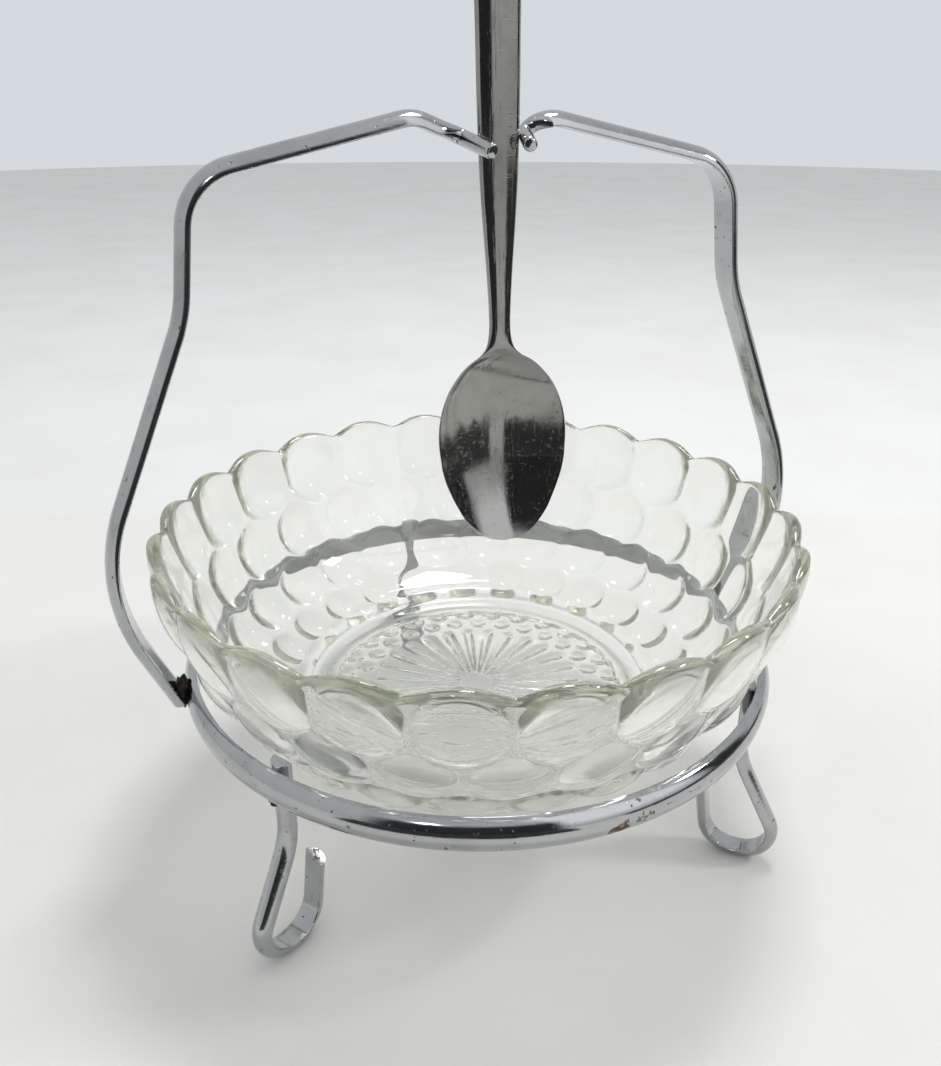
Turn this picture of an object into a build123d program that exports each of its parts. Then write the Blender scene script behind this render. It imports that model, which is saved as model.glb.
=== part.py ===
from build123d import *
import math
import os

# A free-standing chrome wire server for one pressed-glass bowl, with a spoon hung from
# its split handle. Millimetres, +Z up. The origin is on the table under the middle of
# the ring. The two handle arms stand in the XZ plane, and the front of the server,
# where the prongs point and the spoon faces, is -Y.

# ---- driving dimensions -------------------------------------------------------------

# half-oval bar stock: the ring and the arms are bent from the same wide bar
BAR_WIDTH = 11.0
BAR_THICK = 4.2
FOOT_WIDTH = 7.2
FOOT_THICK = 3.7

RING_INNER_R = 95.4
RING_TOP = 67.1

# glass bowl: lobe tips of the scalloped rim, and where it stands inside the ring
BOWL_R = 106.4
BOWL_TOP = 112.5
BOWL_BASE = 41.0
BOWL_FLOOR = 45.6
RIM_THICK = 4.8
LOBES = 24
RIM_TURN = 1.6

# the bowl's wall as (distance from the axis, height), outside and inside, and the step
# round its floor
BOWL_OUTSIDE = [(56.0, 42.0), (76.0, 51.5), (90.9, 68.4), (99.4, 88.0)]
BOWL_INSIDE = [(95.3, 88.0), (86.0, 68.8), (75.0, 56.5), (64.2, 50.6)]
BOWL_STEP = [(60.8, 50.2), (58.4, 46.4)]
FOOT_RING_R = 51.5
FOOT_RING_WIDTH = 3.0
FOOT_RING_DEPTH = 1.2

# gap between two rim lobes: its depth, its side as shares of (half a lobe, depth), how
# far it starts above the rim, and how far it reaches inward from the lobe tips
NOTCH_DEPTH = 4.5
NOTCH_WAIST = (0.42, 0.32)
NOTCH_CLEAR = 0.5
NOTCH_REACH = 14.0

# handle arm, as corners of its centreline in (distance from the axis, height) with the
# bend radius at each corner; the same for both arms up to the crest beside the slot
ARM_FOOT = (101.9, 59.5)
ARM_BULGE = (120.9, 102.8)
ARM_WAIST = (86.0, 183.0)
ARM_SHOULDER = (81.3, 218.7)
ARM_CREST = (19.0, 232.6)
ARM_RADII = [62.0, 45.0, 18.0, 12.0]

# slot for the spoon: each arm ends just beside the spoon's handle and a round prong
# runs forward from there, closing in on the other one
SLOT_MID_X = 4.6
SLOT_WIDTH = 13.9
SLANT_ROOM = 0.9
PRONG_R = 2.3
PRONG_SLANT = 1.13
LEFT_END_Z = 226.6
RIGHT_END_Z = 229.3
LEFT_TIP = (-0.9, -15.0, 223.9)
RIGHT_TIP = (10.4, -10.8, 225.0)
PRONG_DROP = 0.4
PRONG_ROOT = 4.0
PRONG_ROUNDING = 0.8

# hairpin feet: corners of the centreline in (distance from the axis, height); WEAR is
# what a foot has lost underneath
FOOT_TOP = 68.5
FOOT_KNEE_Z = 41.0
FOOT_TOE_R = 114.2
FOOT_HEEL_R = 85.8
FOOT_END = (82.2, 26.0)
FOOT_KNEE_BEND = 22.0
FOOT_LOOP_BEND = 10.6
FOOT_ANGLES = {"left_front_foot": -55.0, "right_front_foot": 49.0, "back_foot": 180.0}
FOOT_SINK = 0.05
WEAR = 0.12

# spoon: measured up its own axis from the tip of its bowl, with the handle as (half
# its width, place along it); the slot holds it at SPOON_HELD
SPOON_Y = -4.0
SPOON_TIP_Z = 105.2
SPOON_TILT = 1.15
SPOON_LENGTH = 200.0
SPOON_THICK = 2.2
SPOON_BOWL_LENGTH = 61.0
SPOON_BOWL_WIDTH = 43.0
SPOON_BOWL_DEPTH = 10.5
SPOON_BEND = 6.0
SPOON_WALL = 1.3
SPOON_HELD = 119.4
SPOON_HANDLE = [
    (4.4, 55.0),
    (3.3, 65.0),
    (3.4, 74.0),
    (4.2, 87.0),
    (5.15, 100.0),
    (5.85, 113.0),
    (6.35, 132.0),
    (6.6, 156.0),
    (7.7, 178.0),
    (8.4, 194.0),
]

# welds: beads at the feet, and a pair of thicker ones where each arm meets the ring
WELD_R = 1.3
WELD_SINK = 0.3
ARM_WELD_R = 2.2
ARM_WELD_LENGTH = 5.5
ARM_WELD_STAND = 0.6
ARM_WELD_RISE = 1.0
ARM_WELD_Y = 3.6


# ---- stock --------------------------------------------------------------------------

def half_oval(width, thick):
    """Section of the bar: flat on one side, domed towards +X of its plane."""
    dome = EllipticalCenterArc((-thick / 2, 0), thick, width / 2, start_angle=-90, arc_size=180)
    flat = Line(dome @ 1, dome @ 0)
    return make_face([dome, flat])


def bent_bar(path, width, thick, outward):
    """Sweep the half-oval section along a flat path, with its dome facing outward."""
    start = Plane(origin=path @ 0, x_dir=outward, z_dir=path % 0)
    return sweep(start * half_oval(width, thick), path=path)


# ---- ring ---------------------------------------------------------------------------

def cradle_ring():
    """A hoop of the wide bar, flat side in, dome out."""
    place = Pos(RING_INNER_R + BAR_THICK / 2, RING_TOP - BAR_WIDTH / 2)
    section = Plane.XZ * place * half_oval(BAR_WIDTH, BAR_THICK)
    return revolve(section, Axis.Z)


# ---- glass bowl ---------------------------------------------------------------------

def bowl_body():
    """The turned shape: flat base, stepped floor, flaring wall."""
    outer = Spline(*BOWL_OUTSIDE, (BOWL_R, BOWL_TOP))
    inner = Spline((BOWL_R - RIM_THICK, BOWL_TOP), *BOWL_INSIDE)
    hollow_z = BOWL_BASE + FOOT_RING_DEPTH
    below = Polyline(
        (0, hollow_z),
        (FOOT_RING_R - FOOT_RING_DEPTH, hollow_z),
        (FOOT_RING_R, BOWL_BASE),
        (FOOT_RING_R + FOOT_RING_WIDTH, BOWL_BASE),
        outer @ 0,
    )
    rim = Line(outer @ 1, inner @ 0)
    floor = Polyline(inner @ 1, *BOWL_STEP, (0, BOWL_FLOOR), (0, hollow_z))
    return revolve(Plane.XZ * make_face([below, outer, rim, inner, floor]), Axis.Z)


def rim_notch():
    """The pointed gap between two rim lobes, as a bar running outward from the axis."""
    half = math.pi * BOWL_R / LOBES
    waist = (half * NOTCH_WAIST[0], -NOTCH_DEPTH * NOTCH_WAIST[1])
    right = ThreePointArc((0, -NOTCH_DEPTH), waist, (half, NOTCH_CLEAR))
    left = right.mirror(Plane.YZ)
    top = Line(left @ 1, right @ 1)
    reach = Plane(origin=(BOWL_R - NOTCH_REACH, 0, BOWL_TOP), x_dir=(0, 1, 0), z_dir=(1, 0, 0))
    return extrude(reach * make_face([left, right, top]), amount=2 * NOTCH_REACH)


def glass_bowl():
    notch = rim_notch()
    step = 360 / LOBES
    notches = [Rot(0, 0, k * step + RIM_TURN) * notch for k in range(LOBES)]
    return bowl_body() - notches


# ---- handle arms --------------------------------------------------------------------

def arm(side, end_z, tip):
    """One arm from its weld on the ring up to its end at the slot, with its prong.

    side is -1 for the left arm and +1 for the right one.
    """
    end_x = SLOT_MID_X + side * SLOT_WIDTH / 2
    corners = [ARM_FOOT, ARM_BULGE, ARM_WAIST, ARM_SHOULDER, ARM_CREST]
    points = [(side * x, 0, z) for x, z in corners]
    points.append((end_x + side * SLANT_ROOM, 0, end_z))
    path = FilletPolyline(*points, radius=ARM_RADII)
    bar = bent_bar(path, BAR_WIDTH, BAR_THICK, (side, 0, -0.45))
    return bar + prong(side, end_x, end_z, tip)


def prong(side, end_x, end_z, tip):
    """A round prong, its inner side level with the arm's end at the spoon's handle."""
    front_face_y = SPOON_Y - SPOON_THICK / 2
    beside_spoon = Vector(end_x + side * PRONG_SLANT * PRONG_R, front_face_y, end_z - PRONG_DROP)
    to_tip = Vector(*tip) - beside_spoon
    root = beside_spoon - to_tip.normalized() * PRONG_ROOT
    line = Line(root, tip)
    rod = sweep(Plane(origin=root, z_dir=line % 0) * Circle(PRONG_R), path=line)
    return fillet(rod.edges().group_by(Axis.Y)[0], PRONG_ROUNDING)


# ---- feet ---------------------------------------------------------------------------

def foot(angle):
    """A hairpin foot: down the ring's inner side, out, round a loop and back up."""
    centre_r = RING_INNER_R - FOOT_THICK / 2 + FOOT_SINK
    low = FOOT_THICK / 2 - WEAR
    corners = [
        (centre_r, FOOT_TOP),
        (centre_r, FOOT_KNEE_Z),
        (FOOT_TOE_R, low),
        (FOOT_HEEL_R, low),
        FOOT_END,
    ]
    points = [(x, 0, z) for x, z in corners]
    path = FilletPolyline(*points, radius=[FOOT_KNEE_BEND, FOOT_LOOP_BEND, FOOT_LOOP_BEND])
    bar = bent_bar(path, FOOT_WIDTH, FOOT_THICK, (1, 0, 0))
    table = Pos(FOOT_HEEL_R, 0, -BAR_WIDTH) * Box(BOWL_R, 2 * BAR_WIDTH, 2 * BAR_WIDTH)
    return Rot(0, 0, angle - 90) * (bar - table)


# ---- welds --------------------------------------------------------------------------

def bead(length, radius):
    """A round-ended run of weld along Y."""
    ends = [Pos(0, y, 0) * Sphere(radius) for y in (-length / 2, length / 2)]
    return Rot(90, 0, 0) * Cylinder(radius, length) + ends


def foot_welds():
    """One bead under the ring's inner edge at each foot."""
    low_edge = Pos(RING_INNER_R - WELD_SINK, 0, RING_TOP - BAR_WIDTH) * bead(FOOT_WIDTH, WELD_R)
    return [Rot(0, 0, angle - 90) * low_edge for angle in FOOT_ANGLES.values()]


def arm_weld(side):
    """A heavy bead where the arm's end meets the outside of the ring."""
    upright = Rot(90, 0, 0) * bead(ARM_WELD_LENGTH, ARM_WELD_R)
    x = side * (RING_INNER_R + BAR_THICK + ARM_WELD_STAND)
    z = RING_TOP - BAR_WIDTH / 2 + ARM_WELD_RISE
    return [Pos(x, y, z) * upright for y in (-ARM_WELD_Y, ARM_WELD_Y)]


# ---- spoon --------------------------------------------------------------------------

def spoon_handle():
    """The flat handle in the XZ plane, narrow at the neck and wider towards its end."""
    right = Spline(*SPOON_HANDLE)
    left = right.mirror(Plane.YZ)
    end = ThreePointArc(right @ 1, (0, SPOON_LENGTH), left @ 1)
    neck = Line(left @ 0, right @ 0)
    outline = Plane.XZ * make_face([right, end, left, neck])
    return extrude(outline, amount=SPOON_THICK / 2, both=True)


def spoon_bowl():
    """Half of a hollow egg, open towards the front, its tip leaning forward from the neck."""
    outer = spoon_egg(0)
    inner = spoon_egg(SPOON_WALL)
    cut = 2 * SPOON_BOWL_LENGTH
    front = Pos(0, -cut / 2, 0) * Box(cut, cut, 2 * cut)
    neck = Pos(0, -SPOON_THICK / 2, SPOON_BOWL_LENGTH)
    return neck * Rot(-SPOON_BEND, 0, 0) * Pos(0, 0, -SPOON_BOWL_LENGTH) * (outer - inner - front)


def spoon_egg(inset):
    """A squashed ellipsoid, narrower towards the tip, smaller all round by inset."""
    long_r = SPOON_BOWL_LENGTH / 2 - inset
    wide_r = SPOON_BOWL_WIDTH / 2 - inset
    deep_r = SPOON_BOWL_DEPTH - inset
    egg = scale(Sphere(1), by=(wide_r, deep_r, long_r))
    return Pos(0, 0, SPOON_BOWL_LENGTH / 2) * egg


def spoon():
    """The spoon hangs a little off plumb, its handle in the slot between the prongs."""
    piece = spoon_handle() + spoon_bowl()
    tip_x = SLOT_MID_X + SPOON_HELD * math.sin(math.radians(SPOON_TILT))
    return Pos(tip_x, SPOON_Y, SPOON_TIP_Z) * Rot(0, -SPOON_TILT, 0) * piece


# ---- the pieces ---------------------------------------------------------------------

def all_pieces():
    pieces = {
        "glass_bowl": glass_bowl(),
        "spoon": spoon(),
        "cradle_ring": cradle_ring(),
        "left_arm": arm(-1, LEFT_END_Z, LEFT_TIP),
        "right_arm": arm(1, RIGHT_END_Z, RIGHT_TIP),
        "left_arm_weld": arm_weld(-1),
        "right_arm_weld": arm_weld(1),
        "foot_welds": foot_welds(),
    }
    for name, angle in FOOT_ANGLES.items():
        pieces[name] = foot(angle)
    return pieces


os.makedirs("parts", exist_ok=True)
for name, shape in all_pieces().items():
    if isinstance(shape, list):
        shape = Compound(children=shape)
    export_step(shape, f"parts/{name}.step")
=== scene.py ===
import math

import bmesh
import bpy
from mathutils import Matrix, Vector, noise


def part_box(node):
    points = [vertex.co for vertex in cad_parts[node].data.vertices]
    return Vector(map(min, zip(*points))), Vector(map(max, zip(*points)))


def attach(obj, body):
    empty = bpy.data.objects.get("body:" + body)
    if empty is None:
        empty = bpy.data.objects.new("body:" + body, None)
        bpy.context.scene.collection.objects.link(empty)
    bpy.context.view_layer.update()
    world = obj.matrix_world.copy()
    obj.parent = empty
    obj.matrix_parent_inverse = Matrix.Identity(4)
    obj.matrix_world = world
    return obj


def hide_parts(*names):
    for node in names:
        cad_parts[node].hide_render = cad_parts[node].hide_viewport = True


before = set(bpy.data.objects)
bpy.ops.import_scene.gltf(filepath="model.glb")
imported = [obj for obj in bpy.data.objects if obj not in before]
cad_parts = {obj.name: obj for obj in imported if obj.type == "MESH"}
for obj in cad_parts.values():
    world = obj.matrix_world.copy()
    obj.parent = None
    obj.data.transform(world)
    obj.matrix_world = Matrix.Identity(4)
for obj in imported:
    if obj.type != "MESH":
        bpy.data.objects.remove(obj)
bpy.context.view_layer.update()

MM = 0.001


# ---- The ring ---------------------------------------------------------------
# A hoop of half-oval steel bar, rolled flat side in, joined end to end and chromed.
# It goes round the bowl, and the feet and the handle are welded to it.

ring_low, ring_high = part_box("cradle_ring")
ring_outer_r = ring_high.x
bar_thick = 4.2 * MM
bar_width = ring_high.z - ring_low.z
bar_edge = 0.5 * MM
ring_middle_r = ring_outer_r - bar_thick / 2
ring_middle_z = (ring_high.z + ring_low.z) / 2
ring_steps = 360
hand_bending = 0.12 * MM
sharp_edge = math.radians(50)


def spaced(first, last, count):
    """Evenly spaced numbers from first to last."""
    return [first + (last - first) * k / (count - 1) for k in range(count)]


def full_turn(count):
    """Evenly spaced angles once round, without the first one again at the end."""
    return spaced(0, 2 * math.pi, count + 1)[:-1]


def half_oval(width, thick, edge, count=15):
    """Section of the bar as (out, across) pairs: domed outside, flat inside."""
    lean = math.acos(edge / thick)
    dome = [(thick * math.cos(a), width / 2 * math.sin(a)) for a in spaced(-lean, lean, count)]
    turns = spaced(0.25, math.pi / 2, 4)
    corner = [(edge - edge * math.sin(a), width / 2 - edge + edge * math.cos(a)) for a in turns]
    flat = [(0, width * 0.25), (0, 0), (0, -width * 0.25)]
    far_corner = [(out, -across) for out, across in reversed(corner)]
    return [(out - thick / 2, across) for out, across in dome + corner + flat + far_corner]


def placed(name, data):
    """A new object in the scene, with this mesh, light or camera."""
    thing = bpy.data.objects.new(name, data)
    bpy.context.scene.collection.objects.link(thing)
    return thing


def closed_mesh(name, points, faces):
    """A smooth closed mesh with all its faces turned outwards."""
    mesh = bpy.data.meshes.new(name)
    mesh.from_pydata(points, [], faces)
    mesh.validate()
    facing = bmesh.new()
    facing.from_mesh(mesh)
    bmesh.ops.recalc_face_normals(facing, faces=facing.faces)
    facing.to_mesh(mesh)
    facing.free()
    mesh.shade_smooth()
    return mesh


def skin(name, loops, hoop=False):
    """A closed skin over a row of loops that all have the same number of points."""
    count = len(loops[0])
    rows = len(loops)
    faces = []
    for row in range(rows if hoop else rows - 1):
        here = row * count
        there = (row + 1) % rows * count
        for k in range(count):
            after = (k + 1) % count
            faces.append((here + k, here + after, there + after, there + k))
    if not hoop:
        faces.append(tuple(reversed(range(count))))
        faces.append(tuple(range((rows - 1) * count, rows * count)))
    mesh = closed_mesh(name, [point for loop in loops for point in loop], faces)
    mesh.set_sharp_from_angle(angle=sharp_edge)
    return placed(name, mesh)


class Level:
    """A number, colour or vector that varies over a surface. Arithmetic adds Math nodes."""

    def __init__(self, finish, socket):
        self.finish = finish
        self.socket = socket

    def math(self, operation, *terms):
        places = dict(enumerate(terms))
        return self.finish.node("ShaderNodeMath", {"operation": operation}, places)["Value"]

    def __add__(self, other):
        return self.math("ADD", self, other)

    __radd__ = __add__

    def __sub__(self, other):
        return self.math("SUBTRACT", self, other)

    def __rsub__(self, other):
        return self.math("SUBTRACT", other, self)

    def __mul__(self, other):
        return self.math("MULTIPLY", self, other)

    __rmul__ = __mul__

    def rise(self, low, high):
        """0 below low and 1 above high, with a smooth step between."""
        limits = {"Value": self, "From Min": low, "From Max": high}
        steps = {"interpolation_type": "SMOOTHSTEP"}
        return self.finish.node("ShaderNodeMapRange", steps, limits)["Result"]


class Finish:
    """One material and its nodes, in the coordinates of the whole object, in metres."""

    def __init__(self, name):
        self.material = bpy.data.materials.new(name)
        self.material.use_nodes = True
        self.tree = self.material.node_tree
        self.shader = self.tree.nodes["Principled BSDF"]
        self.place = self.node("ShaderNodeTexCoord")["Object"]

    def node(self, kind, settings=None, inputs=None):
        """Add a node: its settings first, then the values or links of its sockets."""
        made = self.tree.nodes.new(kind)
        for name, value in (settings or {}).items():
            setattr(made, name, value)
        for socket, value in (inputs or {}).items():
            self.feed(made.inputs[socket], value)
        return {out.name: Level(self, out) for out in made.outputs if out.enabled}

    def feed(self, socket, value):
        if isinstance(value, Level):
            self.tree.links.new(value.socket, socket)
        else:
            socket.default_value = value

    def set(self, **values):
        """Set the shader's sockets by name, with underscores for spaces."""
        for name, value in values.items():
            self.feed(self.shader.inputs[name.replace("_", " ")], value)

    def grain(self, scale, detail=4.0, rough=0.55, stretch=(1, 1, 1)):
        """Soft noise from 0 to 1 about 0.5; scale is in features per metre."""
        turned = self.node("ShaderNodeMapping", None, {"Vector": self.place, "Scale": stretch})
        sizes = {"Vector": turned["Vector"], "Scale": scale, "Detail": detail, "Roughness": rough}
        fractal = self.node("ShaderNodeTexNoise", {"noise_dimensions": "3D"}, sizes)
        return list(fractal.values())[0]

    def tint(self, amount, under, over):
        """Colour under where amount is 0 and colour over where it is 1."""
        parts = {0: amount, 6: under, 7: over}
        return self.node("ShaderNodeMix", {"data_type": "RGBA"}, parts)["Result"]

    def near(self, spot, radius):
        """1 at a spot on the object, falling to 0 a radius away."""
        measured = {0: self.place, 1: spot}
        gap = self.node("ShaderNodeVectorMath", {"operation": "DISTANCE"}, measured)["Value"]
        return 1 - gap.rise(radius * 0.2, radius)

    def relief(self, height, strength, distance):
        """Bump from a height that varies, standing distance proud where height is 1."""
        sizes = {"Strength": strength, "Distance": distance, "Height": height}
        return self.node("ShaderNodeBump", None, sizes)["Normal"]


def worn_chrome(name, rust_spots, rust_size=5 * MM):
    """Old bright plating: hazy patches, fine rubbing, pits, and rust at a few spots."""
    finish = Finish(name)
    haze = finish.grain(45, 6).rise(0.40, 0.66)
    rubbing = finish.grain(260, 5, 0.6, stretch=(1, 1, 6)).rise(0.35, 0.75)
    pits = finish.grain(520, 2, 0.5).rise(0.68, 0.73)
    stains = finish.grain(150, 5, 0.65).rise(0.60, 0.72)
    plating = finish.tint(haze, (0.46, 0.47, 0.48, 1), (0.38, 0.39, 0.40, 1))
    stained = finish.tint(stains * 0.55, plating, (0.27, 0.26, 0.25, 1))
    pitted = finish.tint(pits * 0.85, stained, (0.10, 0.09, 0.08, 1))
    near_rust = sum(finish.near(spot, rust_size) for spot in rust_spots)
    broken = finish.grain(650, 4, 0.7)
    rust = (near_rust * 0.42 + broken).rise(0.88, 1.0)
    rust_colour = finish.tint(finish.grain(900, 3), (0.03, 0.014, 0.008, 1), (0.17, 0.075, 0.03, 1))
    finish.set(
        Base_Color=finish.tint(rust, pitted, rust_colour),
        Metallic=1 - rust * 0.9,
        Roughness=0.07 + haze * 0.08 + rubbing * 0.05 + stains * 0.12 + pits * 0.3 + rust * 0.6,
        Normal=finish.relief(rubbing * 0.12 - pits + rust * 0.8, 0.35, 0.12 * MM),
    )
    return finish.material


def dress(piece, body, slot, finish, *nodes):
    """Give a piece its finish, hang it on the empty of the body that carries it, and hide the nodes it
    takes the place of.
    """
    piece.data.materials.append(finish)
    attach(piece, body)
    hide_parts(*nodes)


def around(angle, radius, height):
    """A point at an angle from the front, towards the right, as seen from above."""
    return Vector((radius * math.sin(angle), -radius * math.cos(angle), height))


ring_section = half_oval(bar_width, bar_thick, bar_edge)
ring_loops = []
for turn in full_turn(ring_steps):
    hoop_r = ring_middle_r + hand_bending * (math.sin(3 * turn + 0.7) - 1)
    ring_loops.append([around(turn, hoop_r + out, ring_middle_z + across)
                       for out, across in ring_section])
ring = skin("ring", ring_loops, hoop=True)
# patches of rust: degrees from the front, and millimetres below the middle of the bar
rust_band = [around(math.radians(a), ring_outer_r, ring_middle_z - h * MM)
             for a, h in ((5.5, 1.0), (3.0, 2.5), (9.0, 0.5))]
weld_stain = [Vector((side * ring_outer_r, 0, ring_middle_z)) for side in (-1, 1)]
ring_finish = worn_chrome("ring_chrome", rust_band + weld_stain)
dress(ring, "stand", "chrome_bar", ring_finish, "cradle_ring")


# ---- The handle arms --------------------------------------------------------
# Two lengths of the same bar, bent flat side in to a waisted handle. Each arm's end
# is drawn down narrow and turned forward as a prong, and the spoon hangs between them.

# corners of the handle before bending, in millimetres out from the middle and up
arm_foot = (101.9, 59.5)
arm_bulge = (120.9, 102.8)
arm_waist = (86.0, 183.0)
arm_shoulder = (81.3, 218.7)
arm_crest = (19.0, 232.6)
arm_bends = [62.0 * MM, 45.0 * MM, 18.0 * MM, 12.0 * MM]
prong_bend = 2.0 * MM
prong_width = 4.1 * MM
prong_thick = 4.5 * MM
prong_edge = 1.1 * MM
prong_collar = 1.0 * MM
drawn_length = 6.0 * MM
tip_length = 1.2 * MM
tip_share = 0.66
tip_stations = (0.45, 0.62, 0.74, 0.84, 0.92, 0.97, 1.0)
arc_step = 0.8 * MM
longest_step = 2.5 * MM
arm_rust_size = 4 * MM
# side of the handle, root and tip of the prong, and a rusty spot, in millimetres
arms = {
    "left_arm": (-1, (-4.9, -0.6, 226.8), (-0.9, -15.0, 223.9), (-113.5, -2.0, 88.0)),
    "right_arm": (1, (13.4, -0.6, 227.8), (11.6, -10.8, 225.0), (112.0, -3.0, 107.5)),
}


def bent(corners, radii, step):
    """Points along straight runs joined by arcs, with one radius for each inner corner."""
    points = [corners[0]]
    for before, corner, after, radius in zip(corners, corners[1:], corners[2:], radii):
        into = (corner - before).normalized()
        out = (after - corner).normalized()
        turn = into.angle(out)
        inward = (out - into * into.dot(out)).normalized()
        start = corner - into * radius * math.tan(turn / 2)
        centre = start + inward * radius
        for a in spaced(0, turn, max(4, round(radius * turn / step) + 1)):
            points.append(centre - inward * radius * math.cos(a) + into * radius * math.sin(a))
    points.append(corners[-1])
    return points


def evenly(points, step):
    """The same line with extra points, so that no two are more than a step apart."""
    filled = [points[0]]
    for here, there in zip(points, points[1:]):
        parts = max(1, math.ceil((there - here).length / step))
        filled += [here.lerp(there, k / parts) for k in range(1, parts + 1)]
    return filled


def along(points, first_out, section_at, slant=0.0):
    """Loops of a bar that follows a line without twisting.

    first_out is where the dome faces at the start. section_at gives the section at a
    distance from the line's end, and slant shears the last cut across the bar.
    """
    left = [0.0]
    for here, there in zip(reversed(points[:-1]), reversed(points[1:])):
        left.insert(0, left[0] + (there - here).length)
    ways = []
    for k in range(len(points)):
        way = points[min(k + 1, len(points) - 1)] - points[max(k - 1, 0)]
        ways.append(way.normalized())
    out_side = first_out
    loops = []
    for point, way, to_go in zip(points, ways, left):
        out_side = (out_side - way * out_side.dot(way)).normalized()
        across_side = way.cross(out_side)
        shear = slant if to_go < 1e-6 else 0.0
        loops.append([point + out_side * out + across_side * across + way * shear * across
                      for out, across in section_at(to_go)])
    return loops


def eased(x):
    """A smooth step from 0 to 1."""
    x = min(1.0, max(0.0, x))
    return x * x * (3 - 2 * x)


def arm_section(to_go, prong_length):
    """The wide bar, drawn down to a round prong before the bend, with a blunt tip."""
    drawn = 1 - eased((to_go - prong_length - prong_collar) / drawn_length)
    width = bar_width + (prong_width - bar_width) * drawn
    thick = bar_thick + (prong_thick - bar_thick) * drawn
    tip = min(1.0, to_go / tip_length)
    shrink = tip_share + (1 - tip_share) * math.sqrt(1 - (1 - tip) ** 2)
    loop = []
    for out, across in half_oval(width, thick, bar_edge + (prong_edge - bar_edge) * drawn):
        a = math.atan2(across / width, out / thick)
        out += (thick / 2 * math.cos(a) - out) * drawn
        across += (width / 2 * math.sin(a) - across) * drawn
        loop.append((out * shrink, across * shrink))
    return loop


def handle_arm(side, prong_root, prong_tip):
    """Corners of one arm in the plane of the handle, then the prong out of it."""
    flat = [arm_foot, arm_bulge, arm_waist, arm_shoulder, arm_crest]
    corners = [Vector((side * x * MM, 0, z * MM)) for x, z in flat]
    corners += [Vector(prong_root) * MM, Vector(prong_tip) * MM]
    prong_length = (corners[-1] - corners[-2]).length
    line = evenly(bent(corners, arm_bends + [prong_bend], arc_step), longest_step)
    line[-1:] = [line[-2].lerp(line[-1], part) for part in tip_stations]
    start_out = Vector((side, 0, -0.45)).normalized()
    return along(line, start_out, lambda to_go: arm_section(to_go, prong_length))


for node, (side, prong_root, prong_tip, rust_spot) in arms.items():
    arm = skin(node + "_bar", handle_arm(side, prong_root, prong_tip))
    arm_finish = worn_chrome(node + "_chrome", [Vector(rust_spot) * MM], arm_rust_size)
    dress(arm, "stand", "chrome_bar", arm_finish, node)


# ---- The hairpin feet -------------------------------------------------------
# Three lengths of a narrower half-round bar, bent round into an open loop with the
# free end sheared off, and welded to the inside of the ring. Their tops carry the bowl.

foot_width = 7.2 * MM
foot_thick = 3.7 * MM
foot_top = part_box("back_foot")[1].z
foot_middle_r = ring_outer_r - bar_thick - foot_thick / 2
foot_knee_z = 41.0 * MM
foot_low = foot_thick / 2
foot_toe_r = 114.2 * MM
foot_heel_r = 85.8 * MM
foot_end_r = 82.2 * MM
foot_end_z = 26.0 * MM
foot_edge = 0.45 * MM
foot_arc_step = 0.7 * MM
foot_shear = 0.35
foot_rust_size = 4.5 * MM
foot_bends = [26.0 * MM, 10.5 * MM, 10.5 * MM]
# degrees from the front, towards the right
foot_angles = {"left_front_foot": -55, "right_front_foot": 49, "back_foot": 180}

cut_ends = [around(math.radians(a), foot_end_r, foot_end_z) for a in foot_angles.values()]
foot_finish = worn_chrome("foot_chrome", cut_ends, foot_rust_size)
foot_section = half_oval(foot_width, foot_thick, foot_edge)
for node, degrees in foot_angles.items():
    turn = math.radians(degrees)
    corners = [
        around(turn, foot_middle_r, foot_top),
        around(turn, foot_middle_r, foot_knee_z),
        around(turn, foot_toe_r, foot_low),
        around(turn, foot_heel_r, foot_low),
        around(turn, foot_end_r, foot_end_z),
    ]
    line = evenly(bent(corners, foot_bends, foot_arc_step), longest_step)
    loops = along(line, around(turn, 1, 0), lambda to_go: foot_section, slant=foot_shear)
    foot = skin(node + "_bar", loops)
    dress(foot, "stand", "chrome_bar", foot_finish, node)


# ---- The welds --------------------------------------------------------------
# Lumps of weld metal that the plating never covered well. The two on the arms have
# rusted black and brown; the feet have a small bead each under the ring's inner edge.

weld_depth = 4.6 * MM
bead_size = Vector((2.0, 2.0, 1.2)) * MM


def lump(name, centre, size, waviness, seed):
    """A rough blob of weld metal."""
    mesh = bmesh.new()
    bmesh.ops.create_icosphere(mesh, subdivisions=5, radius=1)
    for vertex in mesh.verts:
        where = vertex.co.copy()
        coarse = noise.fractal(where * 1.7 + Vector((seed, 0, 0)), 1.0, 2.1, 4)
        fine = noise.fractal(where * 6.0 + Vector((0, seed, 0)), 1.0, 2.1, 3)
        grown = where * (1 + waviness * coarse + waviness * 0.35 * fine)
        vertex.co = centre + Vector(grown[k] * size[k] for k in range(3))
    shape = bpy.data.meshes.new(name)
    mesh.to_mesh(shape)
    mesh.free()
    shape.shade_smooth()
    return placed(name, shape)


def rusty_weld(name):
    """Rough scale: nearly black in the hollows, brown and orange on the crust."""
    finish = Finish(name)
    crust = finish.grain(420, 6, 0.7)
    bloom = finish.grain(190, 4, 0.6).rise(0.56, 0.74)
    dark = finish.tint(crust.rise(0.35, 0.7), (0.006, 0.005, 0.005, 1), (0.045, 0.034, 0.028, 1))
    glint = finish.grain(900, 2).rise(0.66, 0.70)
    finish.set(
        Base_Color=finish.tint(bloom * 0.7, dark, (0.11, 0.055, 0.028, 1)),
        Metallic=glint * 0.9,
        Roughness=0.9 - glint * 0.55,
        Normal=finish.relief(crust, 0.9, 0.5 * MM),
    )
    return finish.material


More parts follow.
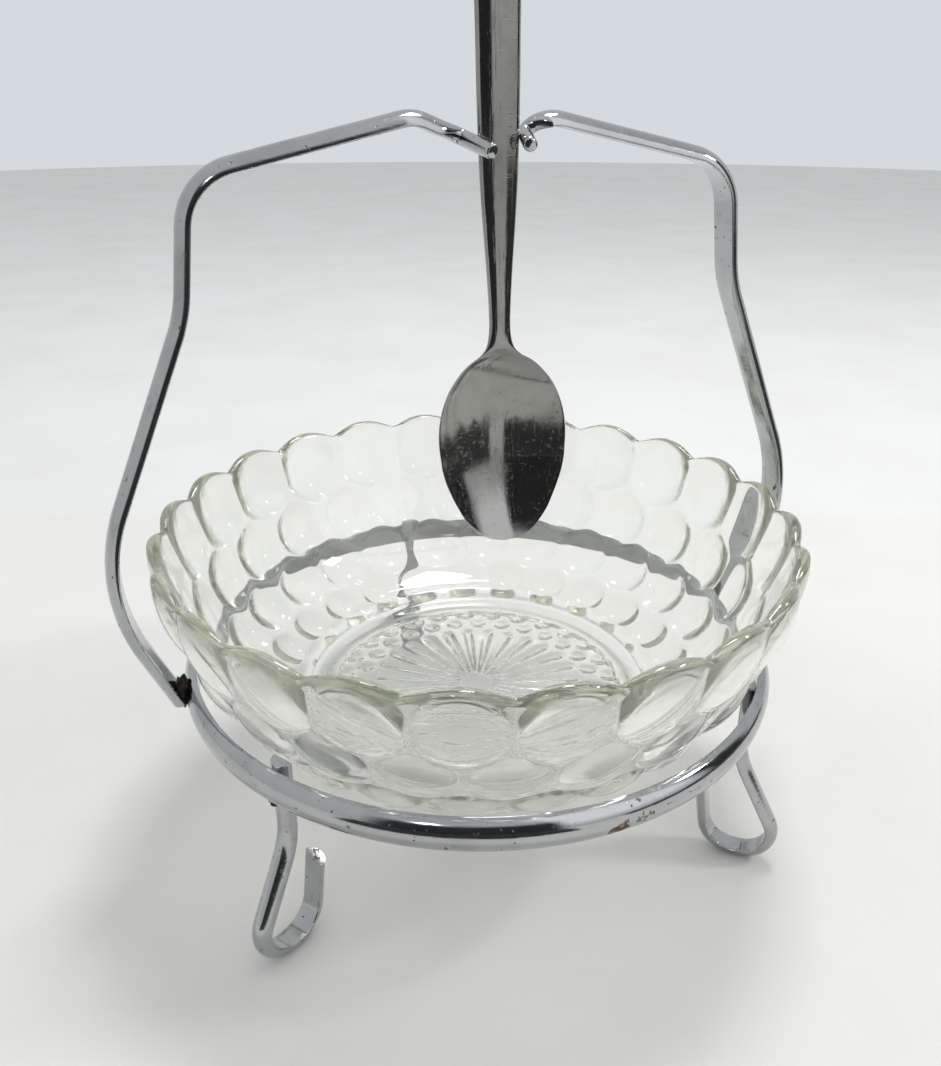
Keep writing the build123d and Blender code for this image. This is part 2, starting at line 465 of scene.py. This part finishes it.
weld_finish = rusty_weld("weld_rust")
for name, side in (("left_arm_weld", -1), ("right_arm_weld", 1)):
    low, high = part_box(name)
    middle = (low + high) / 2
    size = (high - low) * 0.5
    size.y = weld_depth
    weld = lump(name + "_metal", middle, size, 0.30, seed=side * 3.0)
    dress(weld, "stand", "rusty_weld", weld_finish, name)

for k, degrees in enumerate(foot_angles.values()):
    spot = around(math.radians(degrees), ring_outer_r - bar_thick, ring_low.z)
    bead = lump(f"foot_bead_{k + 1}", spot, bead_size, 0.25, seed=7.0 + k)
    dress(bead, "stand", "rusty_weld", weld_finish, "foot_welds")


# ---- The glass bowl ---------------------------------------------------------
# Clear glass, pressed in a mould. Outside are four staggered rows of round domes, the
# top row making the scalloped rim; inside is smooth, with a stepped ring round the floor.
# Underneath are rays and two rings of beads.

# the bowl's own numbers are in millimetres, and its profiles are (radius, height)
bowl_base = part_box("glass_bowl")[0].z / MM
lobes = 24
lobe_turn = math.radians(1.6)
rim_dip = 4.5
rim_lean = 0.12
lip_height = 2.0
base_hollow = 1.9
wall_outside = [(55.2, 42.0), (64.0, 44.7), (74.3, 51.0), (83.2, 59.6), (89.4, 68.4),
                (94.4, 78.0), (98.3, 88.0), (101.6, 99.5), (104.8, 110.4)]
wall_inside = [(100.9, 110.2), (97.0, 98.0), (93.0, 86.0), (88.2, 74.0), (82.4, 64.0),
               (74.0, 56.0), (65.0, 50.9), (63.6, 50.2), (62.2, 50.6), (61.0, 50.4),
               (59.6, 49.0), (58.8, 47.1), (57.6, 46.5), (40.0, 45.9), (20.0, 45.7), (4.0, 45.6)]
# rows of domes: place along the wall from the foot, radius of a dome, height, half a step on
dome_rows = [(17.0, 8.0, 1.9, 0.0), (34.0, 10.3, 2.2, 0.5),
             (54.0, 12.0, 2.6, 0.0), (76.5, 14.3, 3.3, 0.5)]
ray_count = 28
ray_height = 1.0
ray_inner_r = 5.0
ray_outer_r = 38.0
# rings of beads: radius of the ring, radius of a bead, height, share of a step on
bead_rings = [(42.0, 3.2, 1.1, 0.5), (48.6, 3.6, 1.2, 0.0)]
columns = 480
wall_points = 400
wall_rows = 92
lip_rows = 7
inside_rows = 78


def smooth_line(points, count):
    """Points of a smooth line through the given ones, evenly spaced along it."""
    fine = []
    padded = [2 * Vector(points[0]) - Vector(points[1])]
    padded += [Vector(p) for p in points]
    padded.append(2 * Vector(points[-1]) - Vector(points[-2]))
    for before, here, there, after in zip(padded, padded[1:], padded[2:], padded[3:]):
        for part in spaced(0, 1, 13)[:-1]:
            bend = here * 2 + (there - before) * part
            bend += (before * 2 - here * 5 + there * 4 - after) * part ** 2
            bend += (here * 3 - before - there * 3 + after) * part ** 3
            fine.append(bend / 2)
    fine.append(padded[-2])
    run = [0.0]
    for here, there in zip(fine, fine[1:]):
        run.append(run[-1] + (there - here).length)
    line = []
    k = 0
    for goal in spaced(0, run[-1], count):
        while k < len(fine) - 2 and run[k + 1] < goal:
            k += 1
        part = (goal - run[k]) / (run[k + 1] - run[k])
        line.append(fine[k].lerp(fine[k + 1], part))
    return line, run[-1]


fine_wall, wall_length = smooth_line(wall_outside, wall_points)


def on_wall(distance):
    """Radius and height on the plain outside wall, and which way is out, at a distance up it."""
    steps = distance / wall_length * (wall_points - 1)
    place = min(wall_points - 2, max(0, round(steps)))
    here, there = fine_wall[place], fine_wall[place + 1]
    way = (there - here).normalized()
    return here.lerp(there, steps - place), Vector((way.y, -way.x))


def from_lobe(turn, shift):
    """How far an angle is from the middle of the nearest lobe, in radians.

    shift turns the row of lobes by that share of a step.
    """
    step = 2 * math.pi / lobes
    return (turn - lobe_turn - shift * step + step / 2) % step - step / 2


def dome_height(turn, distance):
    """How far the domes stand out of the wall."""
    tallest = 0.0
    for place, radius, height, shift in dome_rows:
        if abs(distance - place) < radius:
            row_r = on_wall(place)[0].x
            sideways = row_r * from_lobe(turn, shift)
            reach = (sideways ** 2 + (distance - place) ** 2) / radius ** 2
            if reach < 1:
                tallest = max(tallest, height * (1 - reach) * (1.12 - 0.12 * (1 - reach)))
    return tallest


def rim_drop(turn):
    """How far the rim dips below its lobe tops."""
    half_step = math.pi / lobes
    offset = abs(from_lobe(turn, 0.5)) / half_step
    return rim_dip * (offset ** 2 - 0.15 * offset ** 8)


def underside(turn, radius):
    """How far the rays and the two rings of beads stand down from the base."""
    step = 2 * math.pi / ray_count
    height = 0.0
    if ray_inner_r < radius < ray_outer_r:
        wave = 0.5 + 0.5 * math.cos(ray_count * turn)
        ends = eased((radius - ray_inner_r) / 8) * eased((ray_outer_r - radius) / 3)
        height = ray_height * wave ** 1.6 * ends
    for ring_r, bead_r, tall, shift in bead_rings:
        sideways = ring_r * ((turn - shift * step + step / 2) % step - step / 2)
        reach = (sideways ** 2 + (radius - ring_r) ** 2) / bead_r ** 2
        if reach < 1:
            height = max(height, tall * (1 - reach))
    return height


inside_line = smooth_line(wall_inside, inside_rows)[0]
# the bottom of the foot ring and the hollow inside it: radius, and height above the lowest point
base_line = [(52.6, 0.0), (51.4, 0.1), (50.6, 1.3)]
base_line += [(r, base_hollow) for r in spaced(49.8, 3.5, 56)]

bowl_columns = []
for turn in full_turn(columns):
    drop = rim_drop(turn)
    column = []
    for share in spaced(0, 1, wall_rows):
        distance = wall_length * share - drop * eased((share - 0.55) / 0.45)
        point, out = on_wall(distance)
        column.append(point + out * dome_height(turn, distance))
    outer_lip = column[-1]
    inner_lip = Vector((inside_line[0].x - rim_lean * drop, inside_line[0].y - drop))
    middle = (outer_lip + inner_lip) / 2
    for a in spaced(0, math.pi, lip_rows + 2)[1:-1]:
        rise = Vector((0, lip_height * math.sin(a)))
        column.append(middle + (outer_lip - middle) * math.cos(a) + rise)
    for k, point in enumerate(inside_line):
        lower = drop * (1 - eased(k / 16))
        column.append(Vector((point.x - rim_lean * lower, point.y - lower)))
    base = [Vector((r, bowl_base + up - underside(turn, r))) for r, up in base_line]
    column += reversed(base)
    column += [Vector((54.0, bowl_base)), Vector((54.8, bowl_base + 0.4))]
    bowl_columns.append([around(turn, p.x * MM, p.y * MM) for p in column])

floor_row = wall_rows + lip_rows + inside_rows - 1
tall = len(bowl_columns[0])
bowl_points = [point for column in bowl_columns for point in column]
floor_top = len(bowl_points)
bowl_points.append(Vector((0, 0, inside_line[-1].y * MM)))
bowl_points.append(Vector((0, 0, (bowl_base + base_hollow) * MM)))
bowl_faces = []
for column in range(columns):
    here = column * tall
    there = (column + 1) % columns * tall
    for row in range(tall):
        after = (row + 1) % tall
        if row == floor_row:
            bowl_faces.append((here + row, there + row, floor_top))
            bowl_faces.append((there + after, here + after, floor_top + 1))
        else:
            bowl_faces.append((here + row, there + row, there + after, here + after))
bowl_name = "glass_bowl_pressing"
bowl = placed(bowl_name, closed_mesh(bowl_name, bowl_points, bowl_faces))


def pressed_glass(name):
    """Clear glass, a little yellow-green in the thick edges, with smears and fine dust."""
    finish = Finish(name)
    ripple = finish.grain(55, 3, 0.5)
    smears = finish.grain(28, 5, 0.6, stretch=(1, 1, 2.5)).rise(0.50, 0.72)
    dust = finish.grain(1100, 2, 0.5).rise(0.70, 0.75)
    soiled = smears * 0.3 + dust * 0.7
    finish.set(
        Base_Color=finish.tint(soiled, (0.985, 0.99, 0.975, 1), (0.93, 0.94, 0.91, 1)),
        Metallic=0.0,
        Roughness=0.004 + smears * 0.03 + dust * 0.25,
        IOR=1.51,
        Transmission_Weight=0.965,
        Normal=finish.relief(ripple * 0.8 + dust * 0.2, 0.10, 0.8 * MM),
    )
    depth = {"Color": (0.93, 0.96, 0.72, 1), "Density": 9.0}
    edge_tint = finish.node("ShaderNodeVolumeAbsorption", None, depth)["Volume"]
    finish.feed(finish.tree.nodes["Material Output"].inputs["Volume"], edge_tint)
    return finish.material


dress(bowl, "bowl", "pressed_glass", pressed_glass("bowl_glass"), "glass_bowl")


# ---- The spoon --------------------------------------------------------------
# Stamped from one sheet of stainless steel: an egg-shaped bowl, a narrow neck and a
# long handle with a crowned face. It hangs by the handle, bowl down, face forward.

spoon_y = -4.0 * MM
spoon_tip_z = 105.4 * MM
spoon_lean = math.radians(1.15)
spoon_slot_x = 4.6 * MM
spoon_slot_height = 119.4 * MM
spoon_turn = Matrix.Rotation(-spoon_lean, 3, "Y")
spoon_tip_x = spoon_slot_x + spoon_slot_height * math.sin(spoon_lean)
spoon_tip = Vector((spoon_tip_x, spoon_y, spoon_tip_z))
# height above the tip and half width there, in millimetres: the egg, the neck, and the
# handle with its rounded end
spoon_outline = [(0, 0.8), (0.4, 3.2), (1.7, 7.1), (4.4, 10.5), (8.5, 13.8), (12.7, 16),
                 (16.9, 17.9), (21, 19.4), (25.2, 20.4), (29.3, 20.8), (33.4, 21.1), (37.6, 20.9),
                 (41.8, 20.2), (45.9, 18.9), (50.1, 16.9), (54.3, 13.7), (57.4, 10.4),
                 (59.9, 6.4), (62.5, 4.3), (67, 3.4), (74, 3.4), (87, 4.15), (100, 5.1),
                 (113, 5.8), (132, 6.3), (156, 6.6), (178, 7.6), (190, 8.3), (195, 7.9),
                 (198.3, 5.8), (199.6, 3.2), (200, 0.8)]
egg_length = 62.0
dish_depth = 8.0
egg_thick = 1.15
handle_thick = 2.1
crown_height = 1.2
spoon_bend = math.tan(math.radians(6))
spoon_rows = 230


def spoon_loop(up, half):
    """One loop round the spoon at a height above its tip, with a half width, in millimetres."""
    share = min(1.0, max(0.0, up / egg_length))
    dish = dish_depth * max(0.0, 1 - abs(2 * share ** 0.95 - 1) ** 2.3)
    below = max(0.0, egg_length - up)
    forward = spoon_bend * below ** 2 / (below + 6)
    handle = eased((up - egg_length + 5) / 12)
    thick = egg_thick + (handle_thick - egg_thick) * handle
    crown = crown_height * handle * min(1.0, half / 6)
    front = []
    back = []
    for side in [math.sin(a) for a in spaced(-math.pi / 2, math.pi / 2, 29)]:
        sag = dish * (1 - side ** 2) - crown * (1 - abs(side) ** 3)
        round_edge = math.sqrt(max(0.0, 1 - abs(side) ** 12))
        lip = 0.4 * (1 - handle) * abs(side) ** 14
        front.append((side * half, sag - thick / 2 * round_edge - lip))
        back.append((side * half, sag + thick / 2 * round_edge))
    loop = front + back[-2:0:-1]
    return [spoon_tip + spoon_turn @ Vector((x * MM, (y - forward) * MM, up * MM)) for x, y in loop]


spoon_stations = smooth_line(spoon_outline, spoon_rows)[0]
spoon_piece = skin("spoon_stamping", [spoon_loop(*station) for station in spoon_stations])


def rubbed_steel(name):
    """Polished stainless steel gone grey with use: fine scratches, smears and water spots."""
    finish = Finish(name)
    scratches = finish.grain(1400, 3, 0.6, stretch=(1, 1, 0.06)).rise(0.55, 0.70)
    cross = finish.grain(1200, 3, 0.6, stretch=(0.08, 1, 1)).rise(0.60, 0.72)
    smears = finish.grain(70, 6, 0.65).rise(0.45, 0.70)
    spots = finish.grain(330, 2, 0.5).rise(0.66, 0.70)
    soiled = smears * 0.6 + spots * 0.3
    finish.set(
        Base_Color=finish.tint(soiled, (0.33, 0.325, 0.315, 1), (0.25, 0.24, 0.225, 1)),
        Metallic=1.0,
        Roughness=0.09 + smears * 0.10 + scratches * 0.10 + cross * 0.05 + spots * 0.12,
        Normal=finish.relief(scratches * 0.5 + cross * 0.5, 0.5, 0.05 * MM),
    )
    return finish.material


dress(spoon_piece, "hanging_spoon", "spoon_steel", rubbed_steel("spoon_steel"), "spoon")


# ---- The table, the light and the camera ------------------------------------
# A pale painted table top, with small softboxes above, to the right and to the left. In
# front the room is dark in two places, with a bright window between. Two black sheets
# lie on the table as painted dark reflections of the dim room. Only reflections show the
# window, the dark places and the sheets.

table_r = 3.0
table_corners = 96
# the paint turns cooler behind a straight line across the table: its direction and distance
seam_x = 0.318
seam_y = 0.948
seam_distance = (0.2465, 0.2475)


def painted_table():
    """Smooth pale paint, warm in front and cooler towards the back, faintly soiled."""
    finish = Finish("table_paint")
    soil = finish.grain(9, 6, 0.6).rise(0.35, 0.75)
    specks = finish.grain(160, 3, 0.6).rise(0.72, 0.80)
    place = finish.node("ShaderNodeSeparateXYZ", None, {"Vector": finish.place})
    back = (seam_x * place["X"] + seam_y * place["Y"]).rise(*seam_distance)
    paint = finish.tint(back, (0.78, 0.775, 0.75, 1), (0.78, 0.785, 0.78, 1))
    clean = finish.tint(soil * 0.5, paint, (0.71, 0.705, 0.675, 1))
    finish.set(
        Base_Color=finish.tint(specks * 0.3, clean, (0.45, 0.42, 0.37, 1)),
        Roughness=0.6 + soil * 0.1,
        Specular_IOR_Level=0.0,
        Normal=finish.relief(soil, 0.05, 1 * MM),
    )
    return finish.material


table_mesh = bpy.data.meshes.new("table")
table_edge = [around(a, table_r, 0) for a in full_turn(table_corners)]
table_mesh.from_pydata(table_edge, [], [tuple(range(table_corners))])
table_mesh.materials.append(painted_table())
placed("table", table_mesh)

world = bpy.data.worlds.new("room")
bpy.context.scene.world = world
world.use_nodes = True


class Room(Finish):
    """The room's light by the direction it comes from, worked out with the same nodes."""

    def __init__(self, tree):
        self.tree = tree
        self.place = self.node("ShaderNodeTexCoord")["Generated"]


room = Room(world.node_tree)
# bearings are in radians from the front, towards the right, and height is 1 straight up
toward = room.node("ShaderNodeSeparateXYZ", None, {"Vector": room.place})
bearing = toward["X"].math("ARCTAN2", toward["X"], toward["Y"] * -1)
height = toward["Z"]
left_gloom = bearing.rise(-1.05, -0.85) * (1 - bearing.rise(0.12, 0.20))
right_gloom = bearing.rise(1.10, 1.20) * (1 - bearing.rise(1.45, 1.6))
gloom = (left_gloom + right_gloom) * (1 - height.rise(0.55, 0.80)) * 0.96
pale = room.tint(height.rise(-0.2, 0.8), (0.64, 0.65, 0.65, 1), (0.68, 0.70, 0.715, 1))
window = bearing.rise(0.15, 0.25) * (1 - bearing.rise(1.0, 1.1)) * height.rise(-0.05, 0.4)
lit = room.tint(window, pale, (1.25, 1.25, 1.28, 1))
dim = room.tint(gloom, lit, (0.01, 0.01, 0.01, 1))
path = room.node("ShaderNodeLightPath")
seen = path["Is Glossy Ray"] * (1 - path["Is Transmission Ray"])
backed = room.tint(path["Is Camera Ray"], pale, (0.665, 0.70, 0.73, 1))
room.feed(room.tree.nodes["Background"].inputs["Color"], room.tint(seen, backed, dim))

# light passes many faces inside the glass rim, which turns dark with too few bounces
bpy.context.scene.cycles.glossy_bounces = 12
bpy.context.scene.cycles.transmission_bounces = 16
bpy.context.scene.cycles.max_bounces = 24


reflection_sheet_z = 0.4 * MM
reflection_sheet_outer_r = 2.9
reflection_sheet_steps = 25


def dark_reflection_sheet(name, first, last, inner_r):
    """A black sheet on the table, between two bearings in degrees, seen only in reflections, where it
    paints a dark reflection of the dim room.
    """
    sweep = spaced(math.radians(first), math.radians(last), reflection_sheet_steps)
    inner = [around(a, inner_r, reflection_sheet_z) for a in sweep]
    outer = [around(a, reflection_sheet_outer_r, reflection_sheet_z) for a in sweep]
    faces = [(k, k + 1, k + 1 + reflection_sheet_steps, k + reflection_sheet_steps) for k in range(reflection_sheet_steps - 1)]
    mesh = bpy.data.meshes.new(name)
    mesh.from_pydata(inner + outer, [], faces)
    reflection_sheet_finish = Finish(name)
    sheet_mottle = reflection_sheet_finish.grain(300, 3)
    # painted dark reflection: a nearly black sheet in place of the dim room in front, seen only in the
    # plating and the spoon
    reflection_sheet_finish.set(Base_Color=reflection_sheet_finish.tint(sheet_mottle, (0.01, 0.01, 0.01, 1), (0.02, 0.02, 0.02, 1)), Roughness=0.9)
    mesh.materials.append(reflection_sheet_finish.material)
    spread = placed(name, mesh)
    for seen_by in ("camera", "diffuse", "transmission", "shadow"):
        setattr(spread, "visible_" + seen_by, False)


# two black sheets that put painted dark reflections of the dim room into the plating
dark_reflection_sheet("left_dark_reflection_sheet", -58, 9, 0.26)
dark_reflection_sheet("right_dark_reflection_sheet", 27, 95, 0.42)


lit_point = Vector((0, 0, 0.1))


def soft_light(name, place, size, power, colour=(1, 1, 1)):
    """A square softbox facing the middle of the object."""
    lamp = bpy.data.lights.new(name, "AREA")
    lamp.size = size
    lamp.energy = power
    lamp.color = colour
    box = placed(name, lamp)
    box.location = place
    box.rotation_euler = (lit_point - Vector(place)).to_track_quat("-Z", "Y").to_euler()


soft_light("overhead_light", (0.25, 0.30, 1.3), 0.32, 6.5)
soft_light("right_light", (1.0, -0.35, 0.9), 0.16, 3.4, (1.0, 0.97, 0.93))
soft_light("left_light", (-0.7, -0.9, 1.1), 0.12, 0.8)

camera = bpy.data.cameras.new("camera")
camera.sensor_fit = "HORIZONTAL"
camera.sensor_width = 36.0
camera.lens = 37.0
camera.clip_start = 0.01
camera.dof.use_dof = False
viewer = placed("camera", camera)
viewer.location = (-0.0938, -0.2772, 0.2418)
yaw, pitch = math.radians(18.26), math.radians(25.2)
sight = Vector((math.sin(yaw) * math.cos(pitch), math.cos(yaw) * math.cos(pitch), -math.sin(pitch)))
viewer.rotation_euler = sight.to_track_quat("-Z", "Y").to_euler()
bpy.context.scene.camera = viewer
bpy.context.scene.view_settings.view_transform = "Standard"
